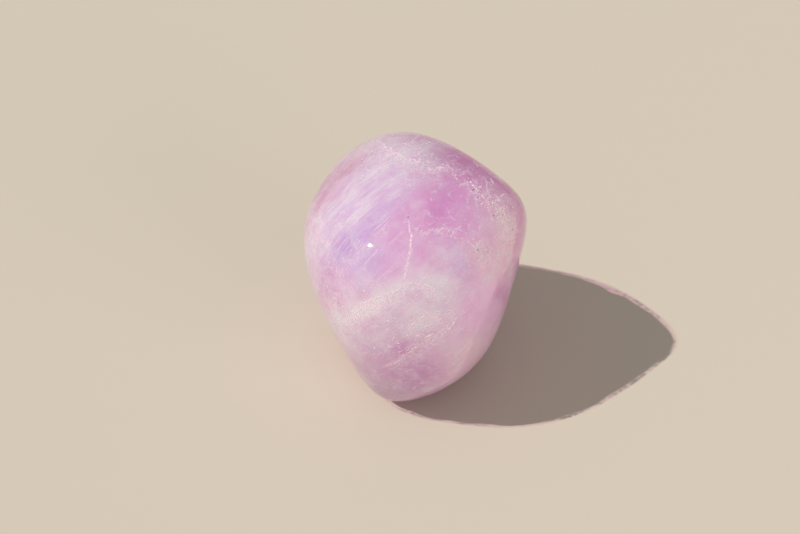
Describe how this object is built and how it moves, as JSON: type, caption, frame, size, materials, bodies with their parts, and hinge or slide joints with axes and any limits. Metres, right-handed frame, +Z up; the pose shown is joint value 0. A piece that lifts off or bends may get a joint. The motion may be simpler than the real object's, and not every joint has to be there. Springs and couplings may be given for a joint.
{
  "type": "tumbled kunzite pebble",
  "caption": "Rounded lilac-pink mineral pebble with soft worn faces, translucent, resting on a small flat underside.",
  "frame": {"origin": "under the middle of the stone's bounding box, on the surface that it rests on", "axes": "+Z up, -Y towards the broad front of the stone, +X to its right seen from the front, +Y along its longest extent"},
  "size_m": [0.0238, 0.026, 0.0245],
  "materials": {
    "kunzite": "tumble polished, translucent lilac-pink spodumene with milky bands"
  },
  "bodies": {
    "root": {"kunzite": "kunzite"}
  },
  "joints": []
}
